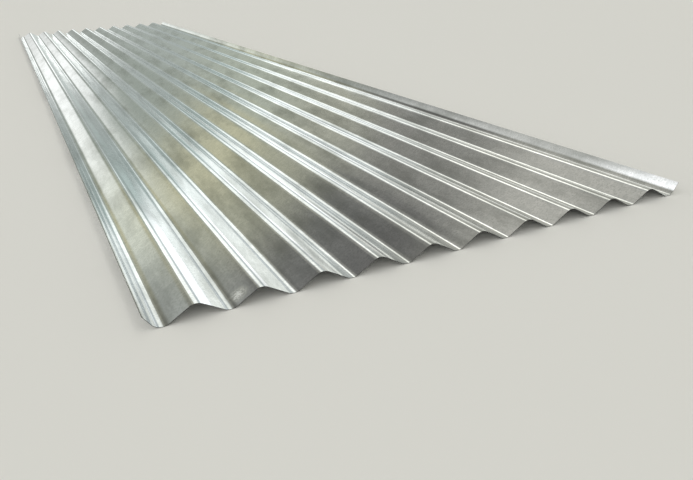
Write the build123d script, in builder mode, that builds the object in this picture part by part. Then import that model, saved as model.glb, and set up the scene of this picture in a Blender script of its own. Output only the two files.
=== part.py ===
"""Corrugated galvanised steel roofing sheet, one rolled piece.

The sheet lies flat on its troughs. X runs across the waves, Y along the sheet and Z up, and the
origin is on the floor under the middle of the sheet. All sizes are in millimetres.
"""

from build123d import *
from math import asin, atan2, degrees, hypot
import os

# What the sheet is sold by
sheet_length = 3660.0  # 12 feet
sheet_thickness = 0.5
trough_count = 11

# The wave that the rolls press into it
wave_pitch = 76.0
wave_depth = 18.0  # crest over trough, measured on one face
inner_bend_radius = 14.0

# The two side edges, which turn up steeper than the waves so that the next sheet laps over them
lip_reach = 20.0  # from the middle of the outer trough to the cut edge
lip_height = 18.0

outer_bend_radius = inner_bend_radius + sheet_thickness
waves_width = (trough_count - 1) * wave_pitch


def tangent_slope(run, rise, radii):
    """Slope in degrees of a straight stretch that leaves one bend and meets another, or an edge.

    run and rise lead from the centre of the bend to the other end, and radii is the sum of the
    bend radii at the two ends.
    """
    return degrees(asin(radii / hypot(run, rise)) + atan2(rise, run))


# The bends turn about centres over the troughs and under the crests
trough_centre = outer_bend_radius
crest_centre = wave_depth - inner_bend_radius
flank_slope = tangent_slope(
    wave_pitch / 2, crest_centre - trough_centre, outer_bend_radius + inner_bend_radius
)
lip_slope = tangent_slope(lip_reach, lip_height - trough_centre, outer_bend_radius)


def trough_bend(x, left_slope, right_slope):
    """The underside of a trough, from the stretch on its left to the one on its right."""
    start = 270 - left_slope
    return CenterArc((x, trough_centre), outer_bend_radius, start, left_slope + right_slope)


def crest_bend(x):
    """The underside of a crest, from left to right."""
    return CenterArc((x, crest_centre), inner_bend_radius, 90 + flank_slope, -2 * flank_slope)


with BuildPart() as corrugated_sheet:
    with BuildSketch(Plane.XZ) as section:
        with BuildLine() as outline:
            stretch_start = (-waves_width / 2 - lip_reach, lip_height)
            for index in range(trough_count):
                trough_x = index * wave_pitch - waves_width / 2
                left_slope = lip_slope if index == 0 else flank_slope
                right_slope = lip_slope if index == trough_count - 1 else flank_slope
                trough = trough_bend(trough_x, left_slope, right_slope)
                Line(stretch_start, trough @ 0)
                stretch_start = trough @ 1
                if index < trough_count - 1:
                    crest = crest_bend(trough_x + wave_pitch / 2)
                    Line(stretch_start, crest @ 0)
                    stretch_start = crest @ 1
            Line(stretch_start, (waves_width / 2 + lip_reach, lip_height))
            offset(amount=sheet_thickness, side=Side.LEFT)
        make_face()
    extrude(amount=sheet_length / 2, both=True)

corrugated_sheet.part.label = "corrugated_sheet"
os.makedirs("parts", exist_ok=True)
export_step(corrugated_sheet.part, "parts/corrugated_sheet.step")
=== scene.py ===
"""Corrugated galvanised steel roofing sheet: its surface, light and camera in Blender.

X runs across the waves, Y along the sheet and Z up, as in the CAD frame. The origin is on the
floor under the middle of the sheet. Lengths are in metres and angles in degrees.
"""

from math import asin, atan2, cos, degrees, hypot, pi, radians, sin

import bpy
import numpy as np
from mathutils import Euler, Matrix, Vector, noise


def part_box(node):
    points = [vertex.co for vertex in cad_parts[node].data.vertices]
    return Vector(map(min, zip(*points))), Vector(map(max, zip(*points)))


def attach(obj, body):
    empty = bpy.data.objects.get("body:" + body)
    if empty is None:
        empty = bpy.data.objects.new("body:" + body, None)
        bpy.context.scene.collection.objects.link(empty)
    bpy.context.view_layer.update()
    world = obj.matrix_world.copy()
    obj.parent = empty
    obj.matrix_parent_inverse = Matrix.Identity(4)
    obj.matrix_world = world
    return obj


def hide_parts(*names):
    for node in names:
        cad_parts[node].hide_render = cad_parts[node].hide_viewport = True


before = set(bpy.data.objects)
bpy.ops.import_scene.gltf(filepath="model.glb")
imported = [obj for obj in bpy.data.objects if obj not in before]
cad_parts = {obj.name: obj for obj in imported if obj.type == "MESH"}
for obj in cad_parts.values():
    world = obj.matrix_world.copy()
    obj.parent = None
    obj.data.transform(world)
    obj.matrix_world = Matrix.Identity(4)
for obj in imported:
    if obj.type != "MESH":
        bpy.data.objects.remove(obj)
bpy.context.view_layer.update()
sheet_low, sheet_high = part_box("corrugated_sheet")

mm = 0.001

# The rolled profile, as in the CAD model
sheet_thickness = 0.5 * mm
trough_count = 11
wave_pitch = 76 * mm
wave_depth = 18 * mm
inner_bend_radius = 14 * mm
outer_bend_radius = inner_bend_radius + sheet_thickness
lip_reach = 20 * mm
lip_height = 18 * mm
sheet_length = sheet_high[1] - sheet_low[1]
waves_width = (trough_count - 1) * wave_pitch

# How finely the mesh follows it
bend_steps = 6
row_count = 190
flank_hold = 2 * mm  # the straight of a flank starts this near to its bends
flank_bow = 0.15 * mm  # how far the middle of a flank stands off its straight line
corner_angle = 45  # edges that turn more than this are shaded sharp

# How far the rolling is from perfect
depth_change = 0.015  # share of the wave depth
depth_change_across = 110 * mm  # the size of a stretch that comes out deeper or shallower
depth_change_along = 420 * mm

# The zinc coat
crystal_size = 9 * mm
crystal_raggedness = 3 * mm
haze_size = 45 * mm
grain_size = 3 * mm  # the real grain is finer, and would not show
grain_height = 0.012 * mm
rolling_stretch = 4  # haze and ripples are this much longer along the sheet than across
ripple_size = 26 * mm
ripple_height = 0.25 * mm
clean_zinc = "#EDEFF0"
dull_crystal = "#DEE1E2"
grey_grain = "#D2D5D5"
hazed_zinc = "#ACAFAD"
clean_roughness = 0.05
hazed_roughness = 0.14

# The noise values between which each mark sets in
crystal_tones = (0, 1)
grain_tones = (0.45, 0.75)
haze_tones = (0.46, 0.72)
haze_dulls = (0.3, 0.75)
frost_shows = (0.15, 0.6)

# The one patch where damp has frosted the zinc
frosted_place = (-290 * mm, -1812 * mm, 8 * mm)  # low on the second flank, by the near cut end
frosted_reach = 22 * mm
frosted_speck = 3 * mm
frosted_zinc = "#F4F5F5"
frosted_roughness = 0.5

# What is under the zinc and under the sheet
# painted shade: the cut edges' steel colour is darkened below bare steel to stand for the shadow
# under the near cut end
torn_steel_and_painted_shade = "#565757"
torn_roughness = 0.55
pale_paint = "#E4E3DF"
paint_roughness = 0.9
paint_shine = 0.2  # where 0.5 is usual
floor_reach = 60
floor_sides = 64


def tangent_slope(run, rise, radii):
    """Slope of a straight stretch that leaves one bend and meets another, or an edge."""
    return degrees(asin(radii / hypot(run, rise)) + atan2(rise, run))


def bend(middle_x, middle_z, radius, first_slope, last_slope):
    """Points of the upper face round one bend: x, z and slope. A crest's radius is negative."""
    slopes = np.linspace(first_slope, last_slope, bend_steps + 1)
    turn = np.radians(slopes)
    return np.stack(
        [middle_x + radius * np.sin(turn), middle_z - radius * np.cos(turn), slopes], axis=1
    )


def flat(first, last):
    """Points of a nearly straight stretch between two others, bowed up as it sprang back."""
    across, rise = (last - first)[:2]
    length = hypot(across, rise)
    slope = degrees(atan2(rise, across))
    points = []
    for share in (flank_hold / length, 0.5, 1 - flank_hold / length):
        bow = 4 * flank_bow * share * (1 - share)  # a parabola, flank_bow high in the middle
        x, z = (first + (last - first) * share)[:2]
        points.append((x - bow * rise / length, z + bow * across / length, slope))
    return np.array(points)


def upper_profile():
    """The upper face from the left edge to the right one, as rows of x, z and slope."""
    trough_middle = outer_bend_radius
    crest_middle = wave_depth - inner_bend_radius
    flank_slope = tangent_slope(
        wave_pitch / 2, crest_middle - trough_middle, outer_bend_radius + inner_bend_radius
    )
    lip_slope = tangent_slope(lip_reach, lip_height - trough_middle, outer_bend_radius)

    # The edge is square to the lip, so its upper corner stands in from the lower one
    edge_x = waves_width / 2 + lip_reach - sheet_thickness * sin(radians(lip_slope))
    edge_z = lip_height + sheet_thickness * cos(radians(lip_slope))
    stretches = [np.array([[-edge_x, edge_z, -lip_slope]])]
    for index in range(trough_count):
        trough_x = index * wave_pitch - waves_width / 2
        left_slope = lip_slope if index == 0 else flank_slope
        right_slope = lip_slope if index == trough_count - 1 else flank_slope
        trough = bend(trough_x, trough_middle, inner_bend_radius, -left_slope, right_slope)
        stretches += [flat(stretches[-1][-1], trough[0]), trough]
        if index < trough_count - 1:
            crest_x = trough_x + wave_pitch / 2
            crest = bend(crest_x, crest_middle, -outer_bend_radius, flank_slope, -flank_slope)
            stretches += [flat(trough[-1], crest[0]), crest]
    edge = np.array([[edge_x, edge_z, lip_slope]])
    stretches += [flat(stretches[-1][-1], edge[0]), edge]
    return np.concatenate(stretches)


def rolled_height(x, y, z):
    """Height of a point on the sheet once the waves are a little deeper here and shallower there."""
    place = Vector((x / depth_change_across, y / depth_change_along, 0))
    return z * (1 + depth_change * noise.noise(place))


def make_sheet():
    """The whole sheet as one closed skin: upper face, underside and the four cut edges."""
    profile = upper_profile()
    slope = np.radians(profile[:, 2])
    under = profile[:, :2] + sheet_thickness * np.stack([np.sin(slope), -np.cos(slope)], axis=1)
    rows = np.linspace(-sheet_length / 2, sheet_length / 2, row_count + 1)
    columns = len(profile)

    points = [
        (x, y, rolled_height(x, y, z))
        for face in (profile[:, :2], under)
        for y in rows
        for x, z in face
    ]
    below = columns * len(rows)  # the underside's points follow the upper face's
    faces = []
    for row in range(row_count):
        for column in range(columns - 1):
            corner = row * columns + column
            quad = [corner, corner + 1, corner + columns + 1, corner + columns]
            faces.append(quad)
            faces.append([point + below for point in reversed(quad)])
    zinc_count = len(faces)

    # The four cut edges join the two faces, all the way round from the near left corner
    far_row = row_count * columns
    around = [
        *range(columns),
        *range(2 * columns - 1, far_row + columns, columns),
        *range(far_row + columns - 2, far_row - 1, -1),
        *range(far_row - columns, 0, -columns),
    ]
    for here, ahead in zip(around, around[1:] + around[:1]):
        faces.append([here, here + below, ahead + below, ahead])

    mesh = bpy.data.meshes.new("galvanised_sheet")
    mesh.from_pydata(points, [], faces)
    mesh.update()
    mesh.polygons.foreach_set("material_index", [int(i >= zinc_count) for i in range(len(faces))])
    mesh.set_sharp_from_angle(angle=radians(corner_angle))
    piece = bpy.data.objects.new("galvanised_sheet", mesh)
    bpy.context.collection.objects.link(piece)
    return piece


def linear(hex_colour):
    """A colour as Blender mixes it, from its sRGB hex value."""
    shares = [int(hex_colour[place:place + 2], 16) / 255 for place in (1, 3, 5)]
    return [s / 12.92 if s <= 0.04045 else ((s + 0.055) / 1.055) ** 2.4 for s in shares] + [1]


def add(tree, kind, inputs=None, stops=None, **settings):
    """Add a node. An input is a value or another node's output, and stops are a ramp's colours."""
    made = tree.nodes.new(kind)
    for name, value in settings.items():
        setattr(made, name, value)
    for socket, value in (inputs or {}).items():
        if isinstance(value, bpy.types.NodeSocket):
            tree.links.new(value, made.inputs[socket])
        else:
            made.inputs[socket].default_value = value
    for index, (place, colour) in enumerate(stops or ()):
        elements = made.color_ramp.elements
        element = elements[index] if index < 2 else elements.new(place)
        element.position = place
        element.color = colour
    return made


def new_material(name):
    """An empty node material, and its node tree."""
    material = bpy.data.materials.new(name)
    material.use_nodes = True
    material.node_tree.nodes.clear()
    return material, material.node_tree


def bright_hot_dip_zinc():
    """Bright hot-dip zinc on steel, temper rolled: a soft mirror with faint crystals in it."""
    material, tree = new_material("bright_hot_dip_zinc")
    place = add(tree, "ShaderNodeTexCoord").outputs["Object"]
    drawn_out = add(
        tree,
        "ShaderNodeVectorMath",
        {0: place, 1: (1, 1 / rolling_stretch, 1)},
        operation="MULTIPLY",
    ).outputs[0]

    # Zinc crystals, drawn with ragged borders
    ragged = add(
        tree,
        "ShaderNodeTexNoise",
        {"Vector": place, "Scale": 1 / crystal_raggedness, "Detail": 2},
    )
    pushed = add(
        tree,
        "ShaderNodeVectorMath",
        {0: ragged.outputs["Color"], 1: (crystal_raggedness,) * 3, 2: place},
        operation="MULTIPLY_ADD",
    )
    crystals = add(
        tree, "ShaderNodeTexVoronoi", {"Vector": pushed.outputs[0], "Scale": 1 / crystal_size}
    )
    crystal = add(tree, "ShaderNodeSeparateColor", {"Color": crystals.outputs["Color"]})

    # Fine grain in the crystals, and a cloudy haze over many of them
    grain = add(
        tree, "ShaderNodeTexNoise", {"Vector": place, "Scale": 1 / grain_size, "Detail": 1}
    )
    haze = add(
        tree,
        "ShaderNodeTexNoise",
        {"Vector": drawn_out, "Scale": 1 / haze_size, "Detail": 4, "Roughness": 0.6},
    )
    tone = linear(clean_zinc)
    for value, (low, high), colour in (
        (crystal.outputs["Red"], crystal_tones, dull_crystal),
        (grain.outputs["Fac"], grain_tones, grey_grain),
        (haze.outputs["Fac"], haze_tones, hazed_zinc),
    ):
        share = add(
            tree, "ShaderNodeMapRange", {"Value": value, "From Min": low, "From Max": high}
        )
        mix = add(
            tree,
            "ShaderNodeMix",
            {0: share.outputs[0], 6: tone, 7: linear(colour)},
            data_type="RGBA",
        )
        tone = mix.outputs[2]
    dullness = add(
        tree,
        "ShaderNodeMapRange",
        {
            "Value": haze.outputs["Fac"],
            "From Min": haze_dulls[0],
            "From Max": haze_dulls[1],
            "To Min": clean_roughness,
            "To Max": hazed_roughness,
        },
    )

    # The frosted patch: pale specks, thick in its middle
    apart = add(
        tree, "ShaderNodeVectorMath", {0: place, 1: frosted_place}, operation="DISTANCE"
    ).outputs["Value"]
    near = add(tree, "ShaderNodeMapRange", {"Value": apart, "From Min": frosted_reach, "From Max": 0})
    specks = add(
        tree, "ShaderNodeTexNoise", {"Vector": place, "Scale": 1 / frosted_speck, "Detail": 3}
    )
    both = add(
        tree, "ShaderNodeMath", {0: near.outputs[0], 1: specks.outputs["Fac"]}, operation="MULTIPLY"
    )
    frosted = add(
        tree,
        "ShaderNodeMapRange",
        {"Value": both.outputs[0], "From Min": frost_shows[0], "From Max": frost_shows[1]},
    ).outputs[0]
    tone = add(
        tree, "ShaderNodeMix", {0: frosted, 6: tone, 7: linear(frosted_zinc)}, data_type="RGBA"
    ).outputs[2]
    dullness = add(
        tree, "ShaderNodeMix", {0: frosted, 2: dullness.outputs[0], 3: frosted_roughness}
    )

    # The grain stands up a little, and the strip under it rises and falls slowly
    grain_bump = add(
        tree, "ShaderNodeBump", {"Height": grain.outputs["Fac"], "Distance": grain_height}
    )
    slow = add(
        tree, "ShaderNodeTexNoise", {"Vector": drawn_out, "Scale": 1 / ripple_size, "Detail": 2}
    )
    ripple_bump = add(
        tree,
        "ShaderNodeBump",
        {"Height": slow.outputs["Fac"], "Distance": ripple_height, "Normal": grain_bump.outputs[0]},
    )
    shader = add(
        tree,
        "ShaderNodeBsdfPrincipled",
        {
            "Base Color": tone,
            "Metallic": 1,
            "Roughness": dullness.outputs[0],
            "Normal": ripple_bump.outputs[0],
        },
    )
    add(tree, "ShaderNodeOutputMaterial", {"Surface": shader.outputs["BSDF"]})
    return material


def sheared_steel():
    """Bare steel where the sheet was sheared: a dull line of torn metal, made darker than bare steel
    as painted shade for the shadow under the cut end.
    """
    material, tree = new_material("sheared_steel")
    shader = add(
        tree,
        "ShaderNodeBsdfPrincipled",
        {"Base Color": linear(torn_steel_and_painted_shade), "Metallic": 1, "Roughness": torn_roughness},
    )
    add(tree, "ShaderNodeOutputMaterial", {"Surface": shader.outputs["BSDF"]})
    return material


def matt_floor_paint():
    """Matt pale floor paint: the eye gets an even ground with no shine."""
    material, tree = new_material("matt_floor_paint")
    shader = add(
        tree,
        "ShaderNodeBsdfPrincipled",
        {
            "Base Color": linear(pale_paint),
            "Roughness": paint_roughness,
            "Specular IOR Level": paint_shine,
        },
    )
    add(tree, "ShaderNodeOutputMaterial", {"Surface": shader.outputs["BSDF"]})
    return material


def make_floor():
    """A level floor that reaches the horizon."""
    bpy.ops.mesh.primitive_circle_add(vertices=floor_sides, radius=floor_reach, fill_type="NGON")
    floor = bpy.context.object
    floor.name = "floor"
    floor.data.materials.append(matt_floor_paint())
    return floor


# The studio round the sheet. Its soft panels run the sheet's way. Each is a run of colours by the
# angle off the way to the sheet's far end, and plain past the last one. Pure white there shines
# with the full panel_brightness.
panel_brightness = 1.7
overhead_panel = (
    (0, "#848684"), (14, "#7F857E"), (21, "#A09E86"), (25, "#8B8B7B"), (31, "#5F5F5C"),
    (37, "#575654"), (45, "#8A8982"), (90, "#646664"),
)
left_panel = (
    (0, "#A0A29F"), (8, "#E2E4E1"), (13, "#DBDDD9"), (21, "#B7BAAE"), (27, "#888B86"),
    (36, "#B2B2AE"), (46, "#B6B6B2"), (54, "#FFFFFF"), (66, "#B4B4B0"),
)
end_panel = ((3.5, "#A0A2A0"), (8, "#D8DAD8"))
dim_panel = (
    (0, "#8F918F"), (12, "#898F8A"), (20, "#92978B"), (27, "#8F8F83"), (33, "#72716C"),
    (38, "#74736E"), (45, "#98968F"), (90, "#646662"),
)
right_panel = (
    (0, "#989B98"), (7, "#8C908D"), (15, "#7E8381"), (18.5, "#8C9390"), (21.5, "#EEF2EC"),
    (26.5, "#EEF0EA"), (31, "#A4A6A4"), (35, "#908F8C"), (90, "#8E8E8A"),
)
window_panel = (
    (0, "#E8EBE9"), (8, "#F0F4F1"), (11, "#989E9B"), (14, "#989F9C"), (17, "#BEC7C4"),
    (22, "#E4E9E6"), (30, "#DCDED8"), (43, "#FFFDF2"), (66, "#B8B8B2"),
)
gap_under_panel = (
    (4, "#D8DCDA"), (9, "#A0A4A2"), (12.5, "#868C89"), (19, "#828E8B"), (23, "#AEB5B4"),
    (28, "#A4AAAA"), (42, "#92918A"), (90, "#84847E"),
)
pale_ground = (
    (0, "#B4B9B6"), (9, "#99A09D"), (15, "#848D8A"), (19, "#98A5A2"), (23, "#F2F5F5"),
    (29, "#F0F2F2"), (34, "#ACACA6"), (90, "#A6A69E"),
)
everywhere = (181, 180)  # a pair of angles that leaves nothing out

# A panel covers the ones above it in this list. Its first pair of angles is where it sets in and
# where it is full, as a turn about the sheet's own way: 0 is level to the right and 90 overhead.
# Its second pair is the same for the angle off that way.
panels = (
    (overhead_panel, everywhere, everywhere),
    (left_panel, (115, 143), everywhere),
    (end_panel, (108, 124), (13.5, 8.5)),
    (dim_panel, (102, 94), everywhere),
    (right_panel, (84, 80), everywhere),
    (window_panel, (76, 71), everywhere),
    (gap_under_panel, (66, 56), (22, 17)),
    (window_panel, (66, 60), (10, 8.5)),
    (gap_under_panel, (61, 55), (32, 35)),
    (gap_under_panel, (50, 44), everywhere),
    (pale_ground, (30, 20), everywhere),
)

lamp_direction = (2, 3, -5.5)  # down, and away from the near left corner
lamp_spread = 120  # how much of the sky it fills
lamp_strength = 1.2


def light_studio():
    """Soft panels all round, drawn as bands of the world by direction alone, and one soft lamp."""
    world = bpy.data.worlds.new("soft_panels")
    world.use_nodes = True
    tree = world.node_tree
    tree.nodes.clear()
    direction = add(tree, "ShaderNodeTexCoord").outputs["Generated"]
    split = add(tree, "ShaderNodeSeparateXYZ", {"Vector": direction})
    angle = add(tree, "ShaderNodeMath", {0: split.outputs["Y"]}, operation="ARCCOSINE")
    share = add(tree, "ShaderNodeMath", {0: angle.outputs[0], 1: pi}, operation="DIVIDE")
    turn = add(
        tree,
        "ShaderNodeMath",
        {0: split.outputs["Z"], 1: split.outputs["X"]},
        operation="ARCTAN2",
    )
    seen = linear("#000000")  # the first panel covers all of it
    for bands, turns, reach in panels:
        stops = [(place / 180, linear(colour)) for place, colour in bands]
        ramp = add(tree, "ShaderNodeValToRGB", {"Fac": share.outputs[0]}, stops)
        ramp.color_ramp.interpolation = "EASE"
        cover = [
            add(
                tree,
                "ShaderNodeMapRange",
                {"Value": value.outputs[0], "From Min": radians(start), "From Max": radians(end)},
                interpolation_type="SMOOTHSTEP",
            ).outputs["Result"]
            for value, (start, end) in ((turn, turns), (angle, reach))
        ]
        both = add(tree, "ShaderNodeMath", {0: cover[0], 1: cover[1]}, operation="MULTIPLY")
        mix = add(
            tree,
            "ShaderNodeMix",
            {0: both.outputs[0], 6: seen, 7: ramp.outputs["Color"]},
            data_type="RGBA",
        )
        seen = mix.outputs[2]
    background = add(
        tree, "ShaderNodeBackground", {"Color": seen, "Strength": panel_brightness}
    )
    add(tree, "ShaderNodeOutputWorld", {"Surface": background.outputs["Background"]})
    bpy.context.scene.world = world

    lamp = bpy.data.lights.new("soft_lamp", "SUN")
    lamp.angle = radians(lamp_spread)
    lamp.energy = lamp_strength
    holder = bpy.data.objects.new("soft_lamp", lamp)
    holder.rotation_euler = Vector(lamp_direction).to_track_quat("-Z", "Y").to_euler()
    bpy.context.collection.objects.link(holder)


# The photograph's view
lens_length = 35  # millimetres, on a frame 36 wide
camera_place = (-0.4650, -2.4862, 0.3613)
camera_yaw = 25.06  # from +Y towards +X
camera_pitch = 23.19  # below the horizon
camera_roll = 2.77  # the right side of the frame drops by this


def make_camera():
    """The camera that looks along the sheet from outside its near left corner."""
    camera = bpy.data.objects.new("camera", bpy.data.cameras.new("camera"))
    camera.data.lens = lens_length
    turn = Euler((0, 0, -radians(camera_yaw))).to_matrix()
    tilt = Euler((radians(90 - camera_pitch), 0, 0)).to_matrix()
    roll = Euler((0, 0, -radians(camera_roll))).to_matrix()
    camera.rotation_euler = (turn @ tilt @ roll).to_euler()
    camera.location = camera_place
    bpy.context.collection.objects.link(camera)
    bpy.context.scene.camera = camera


def main():
    sheet = make_sheet()
    for material in (bright_hot_dip_zinc(), sheared_steel()):
        sheet.data.materials.append(material)
    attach(sheet, "root")
    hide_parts("corrugated_sheet")
    make_floor()
    light_studio()
    make_camera()
    bpy.context.scene.view_settings.view_transform = "Standard"


main()
